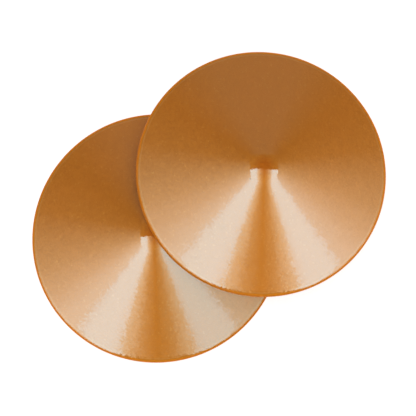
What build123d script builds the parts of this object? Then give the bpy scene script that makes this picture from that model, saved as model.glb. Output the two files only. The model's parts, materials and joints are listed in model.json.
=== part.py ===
from build123d import *
import os
from math import asin, cos, degrees, radians, sin, sqrt, tan

# A pair of finger cymbals: two closed, shallow bronze cones with a hidden elastic finger loop each.
# The rear cymbal stands on its rim. The front one leans on it: its near rim lies on the rear
# cymbal's tip and its far rim on the surface that both stand on.
# Frame: millimetres, +Z up. The origin is in the middle of the pair's footprint, on the surface.

# Cymbal shell
diameter = 60.0
sheet = 1.1                 # metal thickness, the same from tip to rim
slope = radians(18.0)       # fall of the cone below the horizontal
tip_radius = 4.35           # plan radius at which the rounded tip runs into the cone
land_reach = 0.3            # how far the ground land under the rim reaches outside the edge's centre

# Leaning pair
heading_front = 30.0        # direction, from +X, in which the front cymbal lies
centre_distance = 29.1      # horizontal distance between the two rim centres
rest_gap = 0.12             # clearance between the front rim and the rear tip
floor_gap = 0.02            # clearance between the front rim and the surface
heading_rear_loop = 180.0   # direction in which the rear finger loop lies
heading_front_loop = 0.0    # the same for the front loop, in its cymbal's own frame

# Anchor plate brazed under the tip
plate_diameter = 12.0
plate_thickness = 0.7

# Wire staple that holds the finger loop
wire = 1.5
bar_height = 5.7            # height of the bar's axis over the rim plane
bar_bend = 1.0              # bend radius of the wire's centre line
leg_top = 7.85              # height at which the legs end inside the plate
leg_clearance = 0.15        # side gap between the band and each leg

# Elastic finger loop
band_width = 6.0
band_thickness = 0.8
bar_clearance = 0.1         # gap between the bar and the inside of the band
upper_fall = radians(9.5)   # fall of the upper strand as it leaves the bar
lower_fall = radians(45.0)  # fall of the lower strand as it leaves the bar
knee_x = 8.5                # where the upper strand turns down
neck_x = 13.7               # where both strands run into the clip
end_gap = 0.1               # gap between the band's two ends
knee_radius = 4.0
neck_radius = 3.0
heel_radius = 2.5           # where the lower strand meets the surface
entry_radius = 8.0
loop_lift = 0.12            # clearance under the loop where it lies on the rim plane
rear_loop_droop = 0.0       # how far each loop hangs below that, in degrees
front_loop_droop = 6.4

# Folded clip that joins the band's ends
clip_x = 14.7
clip_length = 4.5
clip_wall = 0.4
clip_width = 6.6
clip_corner = 0.8

# Derived sizes of the shell, as radius and height in the half section
edge_radius = sheet / 2
edge_centre = diameter / 2 - edge_radius
edge_height = sqrt(edge_radius**2 - land_reach**2)
outer_apex = edge_height + edge_radius / cos(slope) + edge_centre * tan(slope)
inner_apex = outer_apex - sheet / cos(slope)
tip_outer_radius = tip_radius / sin(slope)
tip_inner_radius = tip_outer_radius - sheet
tip_centre = outer_apex - tip_radius * tan(slope) - tip_outer_radius * cos(slope)
land_inner = inner_apex / tan(slope)
land_outer = edge_centre + land_reach

# Lean of the front cymbal, which brings its near rim onto the rear tip
tip_height = tip_centre + tip_outer_radius
lean = asin((tip_height + rest_gap - floor_gap) / (land_inner + land_outer))
front_height = land_outer * sin(lean) + floor_gap


def cone_profile(ball_radius, apex):
    """Points of one face of the cone in half section: pole, middle and end of the rounded tip."""
    pole = (0, tip_centre + ball_radius)
    middle = (ball_radius * sin(slope / 2), tip_centre + ball_radius * cos(slope / 2))
    end = (ball_radius * sin(slope), apex - ball_radius * sin(slope) * tan(slope))
    return pole, middle, end


def revolved(lines):
    """The solid that a closed half section makes round the Z axis."""
    section = make_face(Plane.XZ * Wire(lines))
    return revolve(section, Axis.Z, 360)


def cymbal_shell():
    """Cone of even thickness with a rounded tip, a round edge and a narrow ground land under it."""
    out_pole, out_middle, out_end = cone_profile(tip_outer_radius, outer_apex)
    in_pole, in_middle, in_end = cone_profile(tip_inner_radius, inner_apex)
    brow = (edge_centre + edge_radius * sin(slope), edge_height + edge_radius * cos(slope))
    widest = (diameter / 2, edge_height)
    outline = [
        ThreePointArc(out_pole, out_middle, out_end),
        Line(out_end, brow),
        ThreePointArc(brow, widest, (land_outer, 0)),
        Line((land_outer, 0), (land_inner, 0)),
        Line((land_inner, 0), in_end),
        ThreePointArc(in_end, in_middle, in_pole),
        Line(in_pole, out_pole),
    ]
    return revolved(outline)


def anchor_plate(staple):
    """Cupped washer that follows the underside of the tip, with a pocket for each staple leg."""
    low_radius = tip_inner_radius - plate_thickness
    low_apex = inner_apex - plate_thickness / cos(slope)
    top_pole, top_middle, top_end = cone_profile(tip_inner_radius, inner_apex)
    low_pole, low_middle, low_end = cone_profile(low_radius, low_apex)
    rim = plate_diameter / 2
    top_rim = (rim, inner_apex - rim * tan(slope))
    low_rim = (rim, low_apex - rim * tan(slope))
    outline = [
        ThreePointArc(top_pole, top_middle, top_end),
        Line(top_end, top_rim),
        Line(top_rim, low_rim),
        Line(low_rim, low_end),
        ThreePointArc(low_end, low_middle, low_pole),
        Line(low_pole, top_pole),
    ]
    return revolved(outline) - staple


def strap_staple():
    """Wire bent into a U: two legs brazed into the plate and a bar under it, along Y."""
    leg_y = band_width / 2 + leg_clearance + wire / 2
    corners = [(-leg_y, leg_top), (-leg_y, bar_height), (leg_y, bar_height), (leg_y, leg_top)]
    path = Plane.YZ * FilletPolyline(*corners, radius=bar_bend)
    start = Plane(origin=(0, -leg_y, leg_top), z_dir=(0, 0, -1))
    return sweep(start * Circle(wire / 2), path)


def finger_loop():
    """Elastic band from the clip over the bar and back, lying towards +X."""
    wrap = wire / 2 + bar_clearance + band_thickness
    low_end = loop_lift + clip_wall
    top_end = low_end + 2 * band_thickness + end_gap
    end_x = clip_x + clip_length - clip_wall
    top_axis = bar_height + wrap / cos(upper_fall)
    low_axis = bar_height - wrap / cos(lower_fall)
    back_x = (top_axis - low_axis) / (tan(upper_fall) - tan(lower_fall))
    back_z = top_axis - back_x * tan(upper_fall)
    knee_z = top_axis - knee_x * tan(upper_fall)
    heel_x = (low_axis - loop_lift) / tan(lower_fall)
    corners = [
        (end_x, top_end),
        (neck_x, top_end),
        (knee_x, knee_z),
        (back_x, back_z),
        (heel_x, loop_lift),
        (neck_x, low_end),
        (end_x, low_end),
    ]
    radii = [neck_radius, knee_radius, wrap, heel_radius, entry_radius]
    face_line = FilletPolyline(*corners, radius=radii).wire()
    strip = face_line.offset_2d(band_thickness, side=Side.RIGHT, closed=True)
    return extrude(Plane.XZ * make_face(strip), band_width / 2, both=True)


def loop_clip():
    """Sheet folded over the band's two ends, open towards the bar."""
    slot = 2 * band_thickness + end_gap
    height = slot + 2 * clip_wall
    block = Pos(clip_x + clip_length / 2, loop_lift + height / 2) * Rectangle(clip_length, height)
    back = block.vertices().group_by(Axis.X)[-1]
    block = fillet(back, clip_corner)
    mouth_length = clip_length - clip_wall
    mouth = Pos(clip_x + mouth_length / 2, loop_lift + height / 2) * Rectangle(mouth_length, slot)
    return extrude(Plane.XZ * (block - mouth), clip_width / 2, both=True)


def cymbal_parts(loop_heading, droop):
    """One cymbal on its own rim plane, as a dictionary of part name and solid."""
    staple = strap_staple()
    turn = Rot(0, 0, loop_heading)
    hang = turn * Pos(0, 0, bar_height) * Rot(0, droop, 0) * Pos(0, 0, -bar_height)
    return {
        "cymbal_shell": cymbal_shell(),
        "anchor_plate": turn * anchor_plate(staple),
        "strap_staple": turn * staple,
        "finger_loop": hang * finger_loop(),
        "loop_clip": hang * loop_clip(),
    }


def rim_reach(axis_share):
    """Reach of a cymbal's edge from its centre, along a direction that has this share of its axis."""
    return edge_centre * sqrt(1 - axis_share**2) + edge_radius


# The rear cymbal's axis is at X = Y = 0 until the pair is moved to the middle of its footprint
front_x = centre_distance * cos(radians(heading_front))
front_y = centre_distance * sin(radians(heading_front))
axis_x = sin(lean) * cos(radians(heading_front))
axis_y = sin(lean) * sin(radians(heading_front))
far_x = front_x + edge_height * axis_x + rim_reach(axis_x)
far_y = front_y + edge_height * axis_y + rim_reach(axis_y)
rear_place = Pos((diameter / 2 - far_x) / 2, (diameter / 2 - far_y) / 2, 0)
tilt = Rot(0, 0, heading_front) * Rot(0, degrees(lean), 0)
front_place = rear_place * Pos(front_x, front_y, front_height) * tilt

rear = cymbal_parts(heading_rear_loop, rear_loop_droop)
front = cymbal_parts(heading_front_loop, front_loop_droop)

os.makedirs("parts", exist_ok=True)
for name, solid in rear.items():
    export_step(rear_place * solid, f"parts/rear_{name}.step")
for name, solid in front.items():
    export_step(front_place * solid, f"parts/front_{name}.step")

print("tip height", tip_height)
print("lean in degrees", degrees(lean))
print("rear rim centre", rear_place.position)
print("front rim centre", front_place.position)
print("loop length", front["finger_loop"].volume / (band_width * band_thickness))
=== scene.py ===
import json
from math import asin, atan2, cos, exp, hypot, pi, radians, sin, sqrt, tan

import bmesh
import bpy
from mathutils import Matrix, Vector


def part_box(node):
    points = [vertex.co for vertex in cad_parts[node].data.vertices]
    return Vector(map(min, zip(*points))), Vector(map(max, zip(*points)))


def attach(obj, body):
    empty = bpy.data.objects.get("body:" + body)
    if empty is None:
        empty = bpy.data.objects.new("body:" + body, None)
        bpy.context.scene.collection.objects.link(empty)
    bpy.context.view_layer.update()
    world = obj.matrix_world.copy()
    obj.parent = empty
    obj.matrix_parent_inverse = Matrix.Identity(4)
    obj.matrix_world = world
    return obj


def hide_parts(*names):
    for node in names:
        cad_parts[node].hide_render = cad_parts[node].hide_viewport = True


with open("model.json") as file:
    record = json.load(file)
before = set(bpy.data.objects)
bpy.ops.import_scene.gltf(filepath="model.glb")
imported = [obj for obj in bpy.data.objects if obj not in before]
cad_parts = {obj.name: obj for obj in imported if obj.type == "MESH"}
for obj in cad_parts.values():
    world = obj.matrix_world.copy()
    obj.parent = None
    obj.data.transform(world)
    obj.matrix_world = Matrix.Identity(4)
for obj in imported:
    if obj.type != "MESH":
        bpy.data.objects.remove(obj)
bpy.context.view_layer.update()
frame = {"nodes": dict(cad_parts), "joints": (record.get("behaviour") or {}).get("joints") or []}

# A pair of closed conical finger cymbals. Lengths are in metres; shapes are in millimetres and
# scaled by MM where they become meshes.
MM = 0.001

# Cymbal shell, in millimetres, as in the CAD model
SHEET = 1.1
SLOPE = radians(18.0)
TIP_RADIUS = 4.35
LAND_REACH = 0.3            # how far the ground land under the rim reaches past the edge's centre
BAR_HEIGHT = 5.7
REST_GAP = 0.12             # clearance between the front rim and the rear tip
FLOOR_GAP = 0.02            # clearance between the front rim and the floor

# Elastic finger loop and its clip, in millimetres, as in the CAD model
WIRE = 1.5
BAR_CLEARANCE = 0.1
BAND_WIDTH = 6.0
BAND_THICKNESS = 0.8
UPPER_FALL = radians(9.5)
LOWER_FALL = radians(45.0)
KNEE_X = 8.5
NECK_X = 13.7
END_GAP = 0.1
KNEE_RADIUS = 4.0
NECK_RADIUS = 3.0
HEEL_RADIUS = 2.5
ENTRY_RADIUS = 8.0
LOOP_LIFT = 0.12
CLIP_X = 14.7
CLIP_LENGTH = 4.5
CLIP_WALL = 0.4
CLIP_WIDTH = 6.6
CLIP_CORNER = 0.8
DIMPLE_SIDE = 1.7           # crimp dimples: place each side of the middle and in from the mouth
DIMPLE_IN = 1.9
DIMPLE_RADIUS = 0.55
DIMPLE_DEPTH = 0.16
DIMPLE_THROUGH = 0.6        # share of a dimple's depth that shows inside the clip
CLIP_SOFTNESS = 0.3         # radius of the clip's rounded sides, as a share of its wall
DROOP = {"rear": 0.0, "front": radians(6.4)}     # how far each loop hangs below the rim plane

# Fineness of the meshes
AROUND = 384                # lathe segments
CONE_RINGS = 24
ARC_RINGS = 10
BROW_RINGS = 16
ON_AXIS = 1e-6              # a point nearer the axis than this, in millimetres, is a pole
BEND_STEPS = 4              # the fewest steps in a bend of a route
RIBS = 9                    # rubber cores across the band
RIB_STEPS = 8
RIB_DEPTH = 0.11            # how deep the grooves between the ribs are, in millimetres
WEFT_PITCH = 0.62           # length of one pair of crossing threads
WEFT_STEPS = 4
WEFT_DEPTH = 0.045
CLIP_ROWS = 44
CLIP_STEP = 0.12
EDGE_START = 0.93           # share of the half width where the band's edge begins to thin

# Camera: a long lens that looks down almost along the cymbals' axes
CAMERA_SIDE = radians(3.8)      # lean of the view towards +X
CAMERA_FRONT = radians(7.5)     # lean of the view towards -Y
CAMERA_DISTANCE = 2.0
CAMERA_TARGET = Vector((0.0, -0.0005, 0.004))
VIEW_WIDTH = 0.0995             # width of the picture at the object
SENSOR = 36.0                   # in millimetres

Z_AXIS = Vector((0, 0, 1))


def placed(origin, axis, heading):
    """Matrix of a cymbal's own frame: Z along its axis, X towards its finger loop's side."""
    side = Vector((-sin(heading), cos(heading), 0))
    ahead = side.cross(axis).normalized()
    basis = Matrix((ahead, side, axis)).transposed()
    return Matrix.Translation(origin) @ basis.to_4x4()


def cymbal_places():
    """Rear rim centre and rim radius, from the rear shell's box, and the front cymbal's heading and
    staple bar, from its loop's hinge."""
    low, high = (Vector(corner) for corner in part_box("rear_cymbal_shell"))
    rear_origin = Vector(((low.x + high.x) / 2, (low.y + high.y) / 2, low.z))
    hinge = next(j for j in frame["joints"] if j["name"] == "front_loop_swing")
    side = Vector(hinge["axis"])
    heading = atan2(-side.x, side.y)
    return rear_origin, (high.x - low.x) / 2 / MM, heading, Vector(hinge["pos_m"])


REAR_ORIGIN, RIM_RADIUS, HEADING, FRONT_BAR = cymbal_places()

# Half section of the shell, in millimetres
EDGE_RADIUS = SHEET / 2
EDGE_CENTRE = RIM_RADIUS - EDGE_RADIUS
EDGE_HEIGHT = sqrt(EDGE_RADIUS**2 - LAND_REACH**2)
OUTER_APEX = EDGE_HEIGHT + EDGE_RADIUS / cos(SLOPE) + EDGE_CENTRE * tan(SLOPE)
INNER_APEX = OUTER_APEX - SHEET / cos(SLOPE)
TIP_OUTER = TIP_RADIUS / sin(SLOPE)
TIP_INNER = TIP_OUTER - SHEET
TIP_CENTRE = OUTER_APEX - TIP_RADIUS * tan(SLOPE) - TIP_OUTER * cos(SLOPE)
LAND_INNER = INNER_APEX / tan(SLOPE)
LAND_OUTER = EDGE_CENTRE + LAND_REACH
LEAN = asin((TIP_CENTRE + TIP_OUTER + REST_GAP - FLOOR_GAP) / (LAND_INNER + LAND_OUTER))

FRONT_AXIS = Vector((sin(LEAN) * cos(HEADING), sin(LEAN) * sin(HEADING), cos(LEAN)))
REAR_FRAME = placed(REAR_ORIGIN, Z_AXIS, pi)
FRONT_FRAME = placed(FRONT_BAR - FRONT_AXIS * BAR_HEIGHT * MM, FRONT_AXIS, HEADING)
FRAMES = {"rear": REAR_FRAME, "front": FRONT_FRAME}


# ---------------------------------------------------------------- meshes

def arc(centre, radius, start, end, count):
    """Points of an arc in the half section; angles are from +Z, outwards positive."""
    angles = (start + (end - start) * i / count for i in range(count + 1))
    return [(centre[0] + radius * sin(a), centre[1] + radius * cos(a)) for a in angles]


def straight(start, end, count):
    """Points strictly between two points of the half section, evenly spaced."""
    shares = (i / count for i in range(1, count))
    return [(start[0] + (end[0] - start[0]) * s, start[1] + (end[1] - start[1]) * s) for s in shares]


def shell_section():
    """Half section from the outer pole round the rim to the inner pole, and its sharp points."""
    cap = arc((0, TIP_CENTRE), TIP_OUTER, 0, SLOPE, ARC_RINGS)
    brow_end = pi - asin(LAND_REACH / EDGE_RADIUS)
    brow = arc((EDGE_CENTRE, EDGE_HEIGHT), EDGE_RADIUS, SLOPE, brow_end, BROW_RINGS)
    inner_cap = arc((0, TIP_CENTRE), TIP_INNER, SLOPE, 0, ARC_RINGS)
    outside = cap + straight(cap[-1], brow[0], CONE_RINGS) + brow
    land_end = (LAND_INNER, 0)
    inside = [land_end] + straight(land_end, inner_cap[0], CONE_RINGS) + inner_cap
    sharp = (len(outside) - 1, len(outside))
    return outside + inside, sharp


def add_object(name, data):
    """Object that brings a mesh, a camera or a light into the scene."""
    obj = bpy.data.objects.new(name, data)
    bpy.context.scene.collection.objects.link(obj)
    return obj


def finished(name, bm, matrix):
    """Object made of a bmesh that was built in a cymbal's or a loop's own frame."""
    bm.transform(matrix)
    mesh = bpy.data.meshes.new(name)
    bm.to_mesh(mesh)
    bm.free()
    return add_object(name, mesh)


def lathe(name, points, sharp, matrix):
    """Half section turned round the axis that it starts and ends on; the inside starts at the last
    sharp point. Each point keeps its radius, in millimetres, and whether it is inside."""
    bm = bmesh.new()
    rings = []
    for r, z in points:
        if r < ON_AXIS:
            rings.append([bm.verts.new((0, 0, z * MM))])
            continue
        turn = (2 * pi * i / AROUND for i in range(AROUND))
        rings.append([bm.verts.new((r * MM * cos(a), r * MM * sin(a), z * MM)) for a in turn])
    for one, two in zip(rings, rings[1:]):
        for i in range(AROUND):
            j = (i + 1) % AROUND
            if len(one) == 1:
                face = (one[0], two[i], two[j])
            elif len(two) == 1:
                face = (one[i], two[0], one[j])
            else:
                face = (one[i], two[i], two[j], one[j])
            bm.faces.new(face)
    for index in sharp:
        ring = rings[index]
        for i in range(AROUND):
            bm.edges.get((ring[i], ring[(i + 1) % AROUND])).smooth = False
    for face in bm.faces:
        face.smooth = True
    radii = []
    inside = []
    for index, ring in enumerate(rings):
        radii += [points[index][0]] * len(ring)
        inside += [float(index >= sharp[-1])] * len(ring)
    obj = finished(name, bm, matrix)
    for key, values in (("radius", radii), ("inside", inside)):
        obj.data.attributes.new(key, "FLOAT", "POINT").data.foreach_set("value", values)
    return obj


def rounded_path(corners, radii, step):
    """Points and headings along a polyline whose inner corners are rounded, about a step apart."""
    points = []
    start = Vector(corners[0])
    for corner, after, radius in zip(corners[1:], corners[2:], radii):
        corner, after = Vector(corner), Vector(after)
        ahead = (corner - start).normalized()
        turned = (after - corner).normalized()
        turn = atan2(ahead.x * turned.y - ahead.y * turned.x, ahead.dot(turned))
        trim = radius * tan(abs(turn) / 2)
        arc_start = corner - ahead * trim
        count = max(1, round((arc_start - start).length / step))
        points += [(start.lerp(arc_start, i / count), ahead) for i in range(count)]
        hand = 1 if turn > 0 else -1
        centre = arc_start + Vector((-ahead.y, ahead.x)) * radius * hand
        count = max(BEND_STEPS, round(radius * abs(turn) / step))
        for i in range(count):
            swing = Matrix.Rotation(turn * i / count, 2)
            points.append((centre + swing @ (arc_start - centre), swing @ ahead))
        start = corner + turned * trim
    end = Vector(corners[-1])
    count = max(1, round((end - start).length / step))
    ahead = (end - start).normalized()
    points += [(start.lerp(end, i / count), ahead) for i in range(count + 1)]
    return points


def band_route():
    """The band's outer face in the loop's frame (X towards the loop, Z up): clip, bar, clip."""
    wrap = WIRE / 2 + BAR_CLEARANCE + BAND_THICKNESS
    low_end = LOOP_LIFT + CLIP_WALL
    top_end = low_end + 2 * BAND_THICKNESS + END_GAP
    end_x = CLIP_X + CLIP_LENGTH - CLIP_WALL
    top_axis = BAR_HEIGHT + wrap / cos(UPPER_FALL)
    low_axis = BAR_HEIGHT - wrap / cos(LOWER_FALL)
    back_x = (top_axis - low_axis) / (tan(UPPER_FALL) - tan(LOWER_FALL))
    corners = [
        (end_x, top_end),
        (NECK_X, top_end),
        (KNEE_X, top_axis - KNEE_X * tan(UPPER_FALL)),
        (back_x, top_axis - back_x * tan(UPPER_FALL)),
        ((low_axis - LOOP_LIFT) / tan(LOWER_FALL), LOOP_LIFT),
        (NECK_X, low_end),
        (end_x, low_end),
    ]
    radii = [NECK_RADIUS, KNEE_RADIUS, wrap, HEEL_RADIUS, ENTRY_RADIUS]
    return rounded_path(corners, radii, WEFT_PITCH / WEFT_STEPS)


def band_section(travel):
    """Section of the ribbed band where it has run this far: across, and in from its outer face."""
    count = RIBS * RIB_STEPS
    half = BAND_THICKNESS / 2
    rows = []
    for i in range(count + 1):
        across = -1 + 2 * i / count
        rib = min(i // RIB_STEPS, RIBS - 1)
        crown = abs(sin(pi * i / RIB_STEPS)) ** 0.5
        pick = 0.5 + 0.5 * cos(2 * pi * travel / WEFT_PITCH + pi * rib)
        sink = RIB_DEPTH * (1 - crown) + WEFT_DEPTH * pick * crown
        edge = half * max(0.0, abs(across) - EDGE_START) / (1 - EDGE_START)
        rows.append((across * BAND_WIDTH / 2, sink + edge * edge / half))
    inner = [(across, BAND_THICKNESS - sink) for across, sink in reversed(rows)]
    return rows + inner


def swept(name, route, section, matrix):
    """Closed mesh of a section along a route; its points are across and in from the outer face."""
    bm = bmesh.new()
    rings = []
    travel = 0.0
    before = route[0][0]
    for point, ahead in route:
        travel += (point - before).length
        before = point
        inward = Vector((-ahead.y, ahead.x))
        ring = []
        for across, sink in section(travel):
            spot = point + inward * sink
            ring.append(bm.verts.new((spot.x * MM, across * MM, spot.y * MM)))
        rings.append(ring)
    size = len(rings[0])
    for one, two in zip(rings, rings[1:]):
        for i in range(size):
            j = (i + 1) % size
            bm.faces.new((one[i], one[j], two[j], two[i]))
    bm.faces.new(list(reversed(rings[0])))
    bm.faces.new(rings[-1])
    bmesh.ops.recalc_face_normals(bm, faces=bm.faces)
    for face in bm.faces:
        face.smooth = len(face.verts) == 4
    return finished(name, bm, matrix)


CLIP_TOP = LOOP_LIFT + 2 * CLIP_WALL + 2 * BAND_THICKNESS + END_GAP


def clip_route():
    """The clip's outer face, from its mouth under the band round its back to its mouth above."""
    back = CLIP_X + CLIP_LENGTH
    corners = [(CLIP_X, LOOP_LIFT), (back, LOOP_LIFT), (back, CLIP_TOP), (CLIP_X, CLIP_TOP)]
    return rounded_path(corners, [CLIP_CORNER, CLIP_CORNER], CLIP_STEP)


CLIP_LINE = clip_route()
CLIP_RUN = sum((after[0] - before[0]).length for before, after in zip(CLIP_LINE, CLIP_LINE[1:]))


def clip_section(travel):
    """Section of the clip's sheet with rounded edges, pressed in at two dimples on each side."""
    from_mouth = min(travel, CLIP_RUN - travel)
    half = CLIP_WIDTH / 2
    soft = CLIP_WALL * CLIP_SOFTNESS
    rows = []
    for i in range(CLIP_ROWS + 1):
        across = -half + CLIP_WIDTH * i / CLIP_ROWS
        away = min(hypot(across - side * DIMPLE_SIDE, from_mouth - DIMPLE_IN) for side in (-1, 1))
        press = DIMPLE_DEPTH * exp(-((away / DIMPLE_RADIUS) ** 2))
        from_edge = half - abs(across)
        curl = 0.0 if from_edge > soft else soft - sqrt(soft**2 - (soft - from_edge) ** 2)
        rows.append((across, press, curl))
    outer = [(across, press + curl) for across, press, curl in rows]
    rows.reverse()
    inner = [(across, CLIP_WALL + press * DIMPLE_THROUGH - curl) for across, press, curl in rows]
    return outer + inner


# ---------------------------------------------------------------- materials

# Scales of patterns are in cells to the metre, and that of the rings in cells to the millimetre

# Flake lacquer and clear coat on the cymbals
FLAKE_SCALE = 2700.0
FLAKE_TILT = 0.18               # share of a flake's own lean that its base takes
COAT_TILT = 0.017               # share of it that the clear coat over the flake takes
PAINTED_GLINT_SHARE = 0.07              # share of the flakes that get a painted glint, and how bright the painted glint is
PAINTED_GLINT_STRENGTH = 0.14
CLOUD_SCALE = 70.0
SPECK_SCALE = 170.0             # cells that may hold a dark speck
SPECK_STRENGTH = 0.45
WAVE_SCALE = 160.0              # slow waves in the clear coat, and their height in metres
WAVE_HEIGHT = 0.0004
LACQUER_ROUGHNESS = 0.7
LACQUER_DEEP = (0.70, 0.232, 0.020, 1)
LACQUER_PALE = (0.76, 0.247, 0.027, 1)
# Painted shade: the darker, deeper orange of the tip
PAINTED_TIP_SHADE = (0.62, 0.14, 0.0, 1)
# Painted glint: the bright gold painted on a few flakes
PAINTED_GLINT_GOLD = (0.95, 0.50, 0.12, 1)
SPECK_BROWN = (0.16, 0.06, 0.01, 1)

# Circles on the cymbals: the painted shade at the tip, the painted highlight line and the orange painted
# shade at the rim; radii are in millimetres
WANDER_SCALE = 420.0
RADIUS_WANDER = 0.08            # how far the circles stray
TIP_SHADE_FADE = (0.9, 3.0)           # radii between which the painted tip shade fades out
TIP_SHADE_STRENGTH = 0.8
# Painted highlight: a pale gold line painted just inside the rim
HIGHLIGHT_LINE_START = 28.9
HIGHLIGHT_LINE_PEAK = 29.2
HIGHLIGHT_LINE_STRENGTH = 0.2
PAINTED_HIGHLIGHT_GOLD = (0.95, 0.55, 0.20, 1)
RIM_START = 29.42
RIM_END = 29.6
RIM_METAL = 0.6                 # how metallic the rim is, and how much clear coat it has
RIM_COAT = 0.1
# Painted shade: the deep orange colour of the rim
PAINTED_RIM_SHADE = (0.84, 0.24, 0.002, 1)

# Bare spun bronze inside the cymbals
RING_SCALE = 6.0                # rings left by the spinning tool, and their depth in metres
RING_DEPTH = 0.00005
STAIN_SCALE = 110.0
BARE_ROUGHNESS = 0.42
BARE_DULL = (0.50, 0.27, 0.09, 1)
BARE_BRIGHT = (0.66, 0.38, 0.14, 1)
BARE_TARNISH = (0.30, 0.14, 0.05, 1)

# Braided elastic
YARN_SCALE = 5200.0
YARN_DEPTH = 0.00006
FADE_SCALE = 260.0
YARN_DARK = (0.016, 0.015, 0.015, 1)
YARN_FADED = (0.032, 0.029, 0.028, 1)
YARN_CROWN = (0.085, 0.078, 0.072, 1)
YARN_FIBRE = (0.12, 0.11, 0.10, 1)

# Brass fittings
TARNISH_SCALE = 240.0
TARNISH_SHADE = 0.55            # brightness of tarnished brass, as a share of clean brass
SCRATCH_SCALE = 900.0
SCRATCH_STRETCH = (1.0, 14.0, 1.0)
SCRATCH_DEPTH = 0.00003
BRASS_EDGE = 0.00014            # radius that softens the edges of brass, in metres

# Floor
TOOTH_SCALE = 900.0
FLOOR_GREY = (0.60, 0.60, 0.60, 1)
FLOOR_PALE = (0.63, 0.63, 0.63, 1)


class Graph:
    """A node tree under construction, with short calls for the nodes used here."""

    def __init__(self, name):
        self.material = bpy.data.materials.new(name)
        self.material.use_nodes = True
        self.tree = self.material.node_tree
        self.tree.nodes.clear()
        self.output = self.tree.nodes.new("ShaderNodeOutputMaterial")
        self.bsdf = self.tree.nodes.new("ShaderNodeBsdfPrincipled")
        self.link(self.bsdf.outputs[0], self.output.inputs["Surface"])

    def link(self, source, target):
        self.tree.links.new(source, target)

    def node(self, kind, settings=None, inputs=None):
        made = self.tree.nodes.new("ShaderNode" + kind)
        for key, value in (settings or {}).items():
            setattr(made, key, value)
        for key, value in (inputs or {}).items():
            self.put(made.inputs[key], value)
        return made

    def put(self, socket, value):
        if isinstance(value, bpy.types.NodeSocket):
            self.link(value, socket)
        else:
            socket.default_value = value

    def place(self):
        """The point's place in the object, in metres."""
        return self.node("TexCoord").outputs["Object"]

    def point_value(self, name):
        """A value that the mesh keeps at each point."""
        return self.node("Attribute", {"attribute_name": name}).outputs["Fac"]

    def noise(self, place, scale, detail):
        inputs = {"Vector": place, "Scale": scale, "Detail": detail}
        return self.node("TexNoise", None, inputs).outputs["Fac"]

    def cells(self, place, scale):
        inputs = {"Vector": place, "Scale": scale}
        return self.node("TexVoronoi", {"voronoi_dimensions": "3D"}, inputs).outputs

    def channel(self, color, name):
        return self.node("SeparateColor", None, {0: color}).outputs[name]

    def math(self, operation, *values):
        made = self.node("Math", {"operation": operation})
        for socket, value in zip(made.inputs, values):
            self.put(socket, value)
        return made.outputs[0]

    def mix_color(self, share, one, two):
        made = self.node("Mix", {"data_type": "RGBA"})
        self.put(made.inputs[0], share)
        self.put(made.inputs[6], one)
        self.put(made.inputs[7], two)
        return made.outputs[2]

    def remap(self, value, low, high, new_low, new_high):
        made = self.node("MapRange", {"clamp": True})
        for key, item in zip(range(5), (value, low, high, new_low, new_high)):
            self.put(made.inputs[key], item)
        return made.outputs[0]

    def blend(self, share, at_none, at_full):
        return self.remap(share, 0.0, 1.0, at_none, at_full)

    def leaning(self, tilt, amount):
        """The surface's normal, leaned by this share of a vector."""
        scaled = self.node("VectorMath", {"operation": "SCALE"}, {0: tilt, "Scale": amount})
        normal = self.node("NewGeometry").outputs["Normal"]
        leaned = self.node("VectorMath", {"operation": "ADD"}, {0: normal, 1: scaled.outputs[0]})
        return self.node("VectorMath", {"operation": "NORMALIZE"}, {0: leaned.outputs[0]}).outputs[0]

    def bump(self, height, strength, distance, normal=None):
        inputs = {"Height": height, "Strength": strength, "Distance": distance}
        if normal is not None:
            inputs["Normal"] = normal
        return self.node("Bump", None, inputs).outputs[0]

    def shader(self, **inputs):
        for key, value in inputs.items():
            self.put(self.bsdf.inputs[key.replace("_", " ")], value)


def lacquer_color(graph, place, radius, luck, rim):
    """Clouds, painted glints and dark specks, a deeper tip of painted shade and a deep orange rim of
    painted shade with a painted pale highlight line inside it.
    """
    base = graph.mix_color(graph.noise(place, CLOUD_SCALE, 4.0), LACQUER_DEEP, LACQUER_PALE)
    # Painted glints: a few flakes are painted bright gold
    painted_glint = graph.remap(luck, 1.0 - PAINTED_GLINT_SHARE, 1.0, 0.0, PAINTED_GLINT_STRENGTH)
    base = graph.mix_color(painted_glint, base, PAINTED_GLINT_GOLD)
    specks = graph.cells(place, SPECK_SCALE)
    near = graph.remap(specks["Distance"], 0.02, 0.045, 1.0, 0.0)
    chosen = graph.remap(graph.channel(specks["Color"], "Green"), 0.45, 0.5, 0.0, SPECK_STRENGTH)
    base = graph.mix_color(graph.math("MULTIPLY", near, chosen), base, SPECK_BROWN)
    # Painted shade: the tip is painted a darker, deeper orange
    tip = graph.remap(radius, *TIP_SHADE_FADE, 1.0, 0.0)
    base = graph.mix_color(graph.math("MULTIPLY", tip, TIP_SHADE_STRENGTH), base, PAINTED_TIP_SHADE)
    # Painted highlight: a pale line painted just inside the rim
    highlight_in = graph.remap(radius, HIGHLIGHT_LINE_START, HIGHLIGHT_LINE_PEAK, 0.0, 1.0)
    highlight_out = graph.remap(radius, HIGHLIGHT_LINE_PEAK, RIM_START, 1.0, 0.0)
    line = graph.math("MULTIPLY", highlight_in, highlight_out)
    base = graph.mix_color(graph.math("MULTIPLY", line, HIGHLIGHT_LINE_STRENGTH), base, PAINTED_HIGHLIGHT_GOLD)
    # Painted shade: the rim is painted a deep orange
    return graph.mix_color(rim, base, PAINTED_RIM_SHADE)


def bare_color(graph, place, rings):
    """Dull and bright rings left by the spinning tool, with clouds of tarnish."""
    stains = graph.noise(place, STAIN_SCALE, 5.0)
    bare = graph.mix_color(graph.remap(rings, 0.35, 0.65, 0.0, 1.0), BARE_DULL, BARE_BRIGHT)
    return graph.mix_color(graph.remap(stains, 0.45, 0.70, 0.0, 0.6), bare, BARE_TARNISH)


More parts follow.
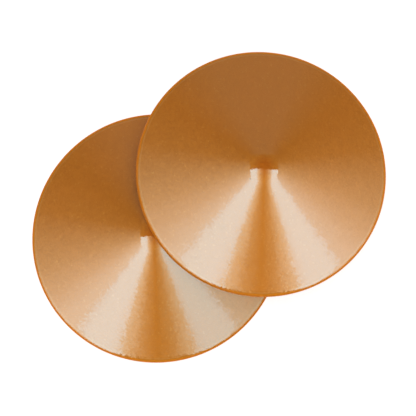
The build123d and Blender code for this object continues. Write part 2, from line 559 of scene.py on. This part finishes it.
def bronze_lacquer(side):
    """Flake lacquer under a clear coat, with deep orange painted shade at the rim; bare spun bronze
    inside.
    """
    graph = Graph(f"bronze_lacquer_{side}")
    place = graph.place()
    wander = graph.remap(graph.noise(place, WANDER_SCALE, 3.0), 0.3, 0.7, -RADIUS_WANDER, RADIUS_WANDER)
    radius = graph.math("ADD", graph.point_value("radius"), wander)
    rim = graph.remap(radius, RIM_START, RIM_END, 0.0, 1.0)
    inside = graph.point_value("inside")

    # Each flake leans its own way, and a few of them get a painted glint in their colour
    flakes = graph.cells(place, FLAKE_SCALE)["Color"]
    luck = graph.channel(flakes, "Red")
    tilt = graph.node("VectorMath", {"operation": "SUBTRACT"}, {0: flakes, 1: (0.5, 0.5, 0.5)}).outputs[0]

    inputs = {"W": radius, "Scale": RING_SCALE, "Detail": 5.0}
    rings = graph.node("TexNoise", {"noise_dimensions": "1D"}, inputs).outputs["Fac"]
    grooves = graph.math("MULTIPLY", rings, inside)
    waves = graph.noise(place, WAVE_SCALE, 3.0)
    lacquer = lacquer_color(graph, place, radius, luck, rim)
    coat = graph.blend(rim, 1.0, RIM_COAT)
    graph.shader(
        Base_Color=graph.mix_color(inside, lacquer, bare_color(graph, place, rings)),
        Metallic=graph.blend(rim, 1.0, RIM_METAL),
        Roughness=graph.blend(inside, LACQUER_ROUGHNESS, BARE_ROUGHNESS),
        Normal=graph.bump(grooves, 0.35, RING_DEPTH, graph.leaning(tilt, FLAKE_TILT)),
        Coat_Weight=graph.math("MULTIPLY", coat, graph.blend(inside, 1.0, 0.0)),
        Coat_Roughness=0.06,
        Coat_IOR=1.85,
        Coat_Normal=graph.bump(waves, 0.07, WAVE_HEIGHT, graph.leaning(tilt, COAT_TILT)),
    )
    return graph.material


def woven_elastic(side):
    """Charcoal braided elastic: matt yarn over rubber cores, paler on the crowns, with stray fibres."""
    graph = Graph(f"woven_elastic_{side}")
    place = graph.place()
    yarn = graph.noise(place, YARN_SCALE, 3.0)
    fade = graph.noise(place, FADE_SCALE, 4.0)
    crown = graph.node("NewGeometry").outputs["Pointiness"]
    base = graph.mix_color(fade, YARN_DARK, YARN_FADED)
    base = graph.mix_color(graph.remap(crown, 0.49, 0.56, 0.0, 0.6), base, YARN_CROWN)
    base = graph.mix_color(graph.remap(yarn, 0.62, 0.75, 0.0, 0.5), base, YARN_FIBRE)
    graph.shader(
        Base_Color=base,
        Roughness=graph.remap(yarn, 0.3, 0.7, 0.72, 0.95),
        Normal=graph.bump(yarn, 0.5, YARN_DEPTH),
        Sheen_Weight=0.25,
        Sheen_Roughness=0.5,
    )
    return graph.material


def brass(name, color, worn):
    """Drawn brass with fine scratches, tarnish clouds, softened edges and brighter wear along them."""
    graph = Graph(name)
    place = graph.place()
    stretch = graph.node("Mapping", None, {"Vector": place, "Scale": SCRATCH_STRETCH}).outputs[0]
    scratch = graph.noise(stretch, SCRATCH_SCALE, 4.0)
    tarnish = graph.noise(place, TARNISH_SCALE, 5.0)
    edge = graph.node("NewGeometry").outputs["Pointiness"]
    dull = tuple(channel * TARNISH_SHADE for channel in color[:3]) + (1,)
    base = graph.mix_color(graph.remap(tarnish, 0.40, 0.72, 0.0, 0.8), color, dull)
    base = graph.mix_color(graph.remap(edge, 0.52, 0.62, 0.0, 0.7), base, worn)
    soft_edge = graph.node("Bevel", {"samples": 4}, {"Radius": BRASS_EDGE}).outputs[0]
    graph.shader(
        Base_Color=base,
        Metallic=1.0,
        Roughness=graph.remap(tarnish, 0.3, 0.7, 0.24, 0.46),
        Normal=graph.bump(scratch, 0.16, SCRATCH_DEPTH, soft_edge),
    )
    return graph.material


def floor_material():
    """Plain pale paper sweep with a trace of tooth."""
    graph = Graph("pale_floor")
    tooth = graph.noise(graph.place(), TOOTH_SCALE, 2.0)
    graph.shader(Base_Color=graph.mix_color(tooth, FLOOR_GREY, FLOOR_PALE), Roughness=0.9)
    return graph.material


# ---------------------------------------------------------------- pieces

def cymbal_shells():
    """The two lathed cymbals, by side."""
    points, sharp = shell_section()
    shells = {}
    for side, matrix in FRAMES.items():
        shell = lathe(f"{side}_shell", points, sharp, matrix)
        shell.data.materials.append(bronze_lacquer(side))
        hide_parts(f"{side}_cymbal_shell")
        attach(shell, f"{side}_cymbal")
        shells[side] = shell
    return shells


def hanging_frame(side):
    """The loop's own frame, turned about the staple's bar by its droop."""
    bar = Matrix.Translation((0, 0, BAR_HEIGHT * MM))
    return FRAMES[side] @ bar @ Matrix.Rotation(DROOP[side], 4, "Y") @ bar.inverted()


def finger_loops():
    """Each cymbal's elastic band and the clip on its ends."""
    clip_metal = brass("clip_brass", (0.83, 0.62, 0.30, 1), (0.95, 0.80, 0.50, 1))
    for side in FRAMES:
        hang = hanging_frame(side)
        band = swept(f"{side}_elastic", band_route(), band_section, hang)
        band.data.materials.append(woven_elastic(side))
        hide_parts(f"{side}_finger_loop")
        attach(band, f"{side}_loop")
        clip = swept(f"{side}_clip", CLIP_LINE, clip_section, hang)
        clip.data.materials.append(clip_metal)
        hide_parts(f"{side}_loop_clip")
        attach(clip, f"{side}_loop")


def brass_fittings():
    """Brass on the CAD anchor plates and staples."""
    metals = {
        "anchor_plate": brass("plate_brass", (0.72, 0.47, 0.17, 1), (0.90, 0.68, 0.34, 1)),
        "strap_staple": brass("wire_brass", (0.80, 0.57, 0.25, 1), (0.93, 0.75, 0.44, 1)),
    }
    for side in FRAMES:
        for part, metal in metals.items():
            frame["nodes"][f"{side}_{part}"].material_slots[0].material = metal


# ---------------------------------------------------------------- studio

VIEW_OUT = Vector((sin(CAMERA_SIDE), -sin(CAMERA_FRONT), 0))
VIEW_OUT.z = sqrt(1 - VIEW_OUT.length_squared)


def add_camera():
    """Camera in the direction VIEW_OUT from its target, with +Y up in the picture."""
    data = bpy.data.cameras.new("camera")
    data.sensor_width = SENSOR
    data.lens = SENSOR * CAMERA_DISTANCE / VIEW_WIDTH
    data.clip_start = 0.01
    data.clip_end = 20.0
    camera = add_object("camera", data)
    right = Vector((0, 1, 0)).cross(VIEW_OUT).normalized()
    up = VIEW_OUT.cross(right)
    basis = Matrix((right, up, VIEW_OUT)).transposed().to_4x4()
    camera.matrix_world = Matrix.Translation(CAMERA_TARGET + VIEW_OUT * CAMERA_DISTANCE) @ basis
    bpy.context.scene.camera = camera


def mirror_direction(matrix, azimuth=0.0, slope=0.0):
    """Where a light stands to be mirrored to the camera by a face of this slope, at this azimuth."""
    basis = matrix.to_3x3()
    local = basis.inverted() @ Vector((cos(azimuth), sin(azimuth), 0))
    local.z = 0
    local.normalize()
    normal = basis @ (local * sin(slope) + Z_AXIS * cos(slope))
    return (2 * normal.dot(VIEW_OUT) * normal - VIEW_OUT).normalized()


PANEL_DISTANCE = 3.0            # from a cymbal's rim centre to the plane of its softboxes
PANEL_POWER = 5.3               # a softbox's power to the square metre, over pi, where its ramp is 1

# Softboxes hang in one plane above each cymbal, and the cone mirrors the strips and flanks to the
# camera. Their colours are given at azimuths on the cone, in degrees from the view's right or left
# towards its bottom. The strips' ramp runs across the view and the flanks' runs up and down it.
FLANK = [
    (-36, (0.0, 0.0, 0.0)),
    (-15, (0.03, 0.03, 0.015)),
    (0, (0.12, 0.14, 0.09)),
    (15, (0.24, 0.265, 0.18)),
    (30, (0.41, 0.45, 0.345)),
    (45, (0.57, 0.69, 0.60)),
]
STRIP = [
    (45, (0.53, 0.69, 0.61)),
    (46.5, (0.59, 0.90, 0.92)),
    (51, (0.64, 0.985, 1.0)),
    (65, (0.63, 0.975, 1.0)),
    (70, (0.60, 0.83, 0.80)),
    (71, (0.53, 0.60, 0.45)),
    (76, (0.43, 0.42, 0.28)),
    (81, (0.23, 0.19, 0.10)),
    (90, (0.09, 0.03, 0.005)),
]

# All other places in the plane are given across and up the view, over PANEL_DISTANCE
STRIP_TOP = -0.11
STRIP_BOTTOM = -0.80
FLANK_OUTER = 0.9

# Dim panel beyond the top of the view: colours at places across
TOP = [
    (-0.52, (0.0, 0.0, 0.0)),
    (-0.25, (0.035, 0.045, 0.032)),
    (0.25, (0.035, 0.045, 0.032)),
    (0.52, (0.0, 0.0, 0.0)),
]
TOP_ALONG = (0.44, 0.90)

# Low fill panels: brightness, places across and along. They stand all round the front cymbal. The
# rear one's brightest stands beyond the front cymbal, which throws its soft shade on the rear one.
FILLS = {
    "front": {
        "fill_right": (0.10, (1.0, 2.4), (-1.6, 0.2)),
        "fill_left": (0.11, (-2.4, -1.0), (-1.6, 0.9)),
        "fill_top": (0.12, (-0.9, 0.4), (1.0, 2.4)),
        "fill_bottom": (0.10, (-1.0, 1.0), (-2.4, -1.0)),
    },
    "rear": {
        "fill_beyond": (0.26, (0.15, 2.0), (0.05, 1.8)),
        "fill_left": (0.14, (-2.4, -1.0), (-1.6, 0.0)),
        "fill_bottom": (0.09, (-1.0, 1.0), (-2.4, -1.0)),
    },
}

# Shares of the full strip and flank light; the rear cymbal's right side is in the front one's shade
FULL_LIGHT = (1.0, 1.0, 1.0)
LIGHT_SHARES = {
    ("front", "right"): ((0.98, 0.98, 0.98), (0.92, 0.92, 0.92)),
    ("front", "left"): (FULL_LIGHT, FULL_LIGHT),
    ("rear", "right"): ((0.69, 0.77, 0.76), (0.60, 0.69, 0.67)),
    ("rear", "left"): (FULL_LIGHT, FULL_LIGHT),
}


def dimmed(color, share):
    return tuple(channel * part for channel, part in zip(color, share))


class LightPlane:
    """The plane that one cymbal's softboxes hang in, square to the ray that its tip mirrors."""

    def __init__(self, matrix, receivers):
        self.matrix = matrix
        self.receivers = receivers
        self.out = mirror_direction(matrix)
        right = mirror_direction(matrix, 0.0, SLOPE) - mirror_direction(matrix, pi, SLOPE)
        self.right = (right - self.out * self.out.dot(right)).normalized()
        self.up = self.out.cross(self.right)

    def spot(self, azimuth, hand):
        """Place in the plane, over its distance, that the cone mirrors at this azimuth."""
        turn = radians(-azimuth) if hand == "right" else radians(180 + azimuth)
        ray = mirror_direction(self.matrix, turn, SLOPE)
        return ray.dot(self.right) / ray.dot(self.out), ray.dot(self.up) / ray.dot(self.out)

    def panel(self, name, across, along, stops, axis):
        """Softbox between two places across and two along, with colour stops on one of those axes."""
        low, high = (min(across), max(across)) if axis == 0 else (min(along), max(along))
        width = PANEL_DISTANCE * abs(across[1] - across[0])
        height = PANEL_DISTANCE * abs(along[1] - along[0])
        data = bpy.data.lights.new(name, "AREA")
        data.shape = "RECTANGLE"
        data.size = width
        data.size_y = height
        data.energy = PANEL_POWER * pi * width * height
        data.use_nodes = True
        tree = data.node_tree
        emission = next(n for n in tree.nodes if n.type == "EMISSION")
        geometry = tree.nodes.new("ShaderNodeNewGeometry")
        split = tree.nodes.new("ShaderNodeSeparateXYZ")
        curve = tree.nodes.new("ShaderNodeValToRGB")
        tree.links.new(geometry.outputs["Parametric"], split.inputs[0])
        tree.links.new(split.outputs[axis], curve.inputs[0])
        tree.links.new(curve.outputs[0], emission.inputs["Color"])
        elements = curve.color_ramp.elements
        while len(elements) < len(stops):
            elements.new(0.5)
        for element, (place, color) in zip(elements, sorted(stops)):
            element.position = (place - low) / (high - low)
            element.color = (*color, 1)
        lamp = add_object(name, data)
        basis = Matrix((self.right, self.up, self.out)).transposed().to_4x4()
        centre = self.out + self.right * sum(across) / 2 + self.up * sum(along) / 2
        centre = self.matrix.translation + centre * PANEL_DISTANCE
        lamp.matrix_world = Matrix.Translation(centre) @ basis
        lamp.light_linking.receiver_collection = self.receivers

    def strip(self, name, hand, share):
        """Softbox mirrored in a narrow sector of the cone, near the view's bottom."""
        stops = [(self.spot(azimuth, hand)[0], dimmed(color, share)) for azimuth, color in STRIP]
        across = (stops[0][0], stops[-1][0])
        self.panel(name, across, (STRIP_BOTTOM, STRIP_TOP), stops, 0)

    def flank(self, name, hand, share):
        """Dimmer softbox beside the strip, mirrored in the cone's right or left side."""
        stops = [(self.spot(azimuth, hand)[1], dimmed(color, share)) for azimuth, color in FLANK]
        along = (stops[0][0], STRIP_BOTTOM)
        inner = self.spot(STRIP[0][0], hand)[0]
        outer = FLANK_OUTER if hand == "right" else -FLANK_OUTER
        self.panel(name, (inner, outer), along, stops, 1)


def group(name, *objects):
    """Collection for light linking, which isn't shown in the scene."""
    made = bpy.data.collections.new(name)
    for obj in objects:
        made.objects.link(obj)
    return made


def light_cymbals(shells):
    """Each cymbal's own softboxes, linked to its shell only."""
    for side, shell in shells.items():
        plane = LightPlane(FRAMES[side], group(f"lit_{side}", shell))
        for hand in ("right", "left"):
            strip_share, flank_share = LIGHT_SHARES[side, hand]
            plane.strip(f"strip_{side}_{hand}", hand, strip_share)
            plane.flank(f"flank_{side}_{hand}", hand, flank_share)
        plane.panel(f"top_{side}", (TOP[0][0], TOP[-1][0]), TOP_ALONG, TOP, 0)
        for name, (level, across, along) in FILLS[side].items():
            stops = [(place, (level, level, level)) for place in across]
            plane.panel(f"{name}_{side}", across, along, stops, 0)


ROOM_LIGHT = 0.08
ROOM_COLOR = (1.0, 0.99, 0.96, 1)


def light_world():
    """Faint, even light from all round."""
    world = bpy.data.worlds.new("studio")
    world.use_nodes = True
    bpy.context.scene.world = world
    background = world.node_tree.nodes["Background"]
    background.inputs[0].default_value = ROOM_COLOR
    background.inputs[1].default_value = ROOM_LIGHT


FLOOR_RADIUS = 4.0
FLOOR_DROP = 0.00005            # how far the floor lies under the cymbals' rims
FLOOR_LIGHT_SIZE = 5.0
FLOOR_LIGHT_HEIGHT = 2.5
FLOOR_LIGHT_POWER = 240.0


def add_floor():
    """Round floor and the broad lamp over it, which lights nothing else."""
    bpy.ops.mesh.primitive_circle_add(
        vertices=64,
        radius=FLOOR_RADIUS,
        fill_type="NGON",
        location=(0, 0, -FLOOR_DROP),
    )
    floor = bpy.context.object
    floor.name = "floor"
    floor.data.materials.append(floor_material())
    data = bpy.data.lights.new("floor_light", "AREA")
    data.size = FLOOR_LIGHT_SIZE
    data.energy = FLOOR_LIGHT_POWER
    lamp = add_object("floor_light", data)
    lamp.location = (0, 0, FLOOR_LIGHT_HEIGHT)
    lamp.light_linking.receiver_collection = group("lit_floor", floor)
    lamp.light_linking.blocker_collection = group("shading_floor", floor)


shells = cymbal_shells()
finger_loops()
brass_fittings()
add_camera()
light_cymbals(shells)
light_world()
add_floor()
bpy.context.scene.view_settings.view_transform = "Standard"
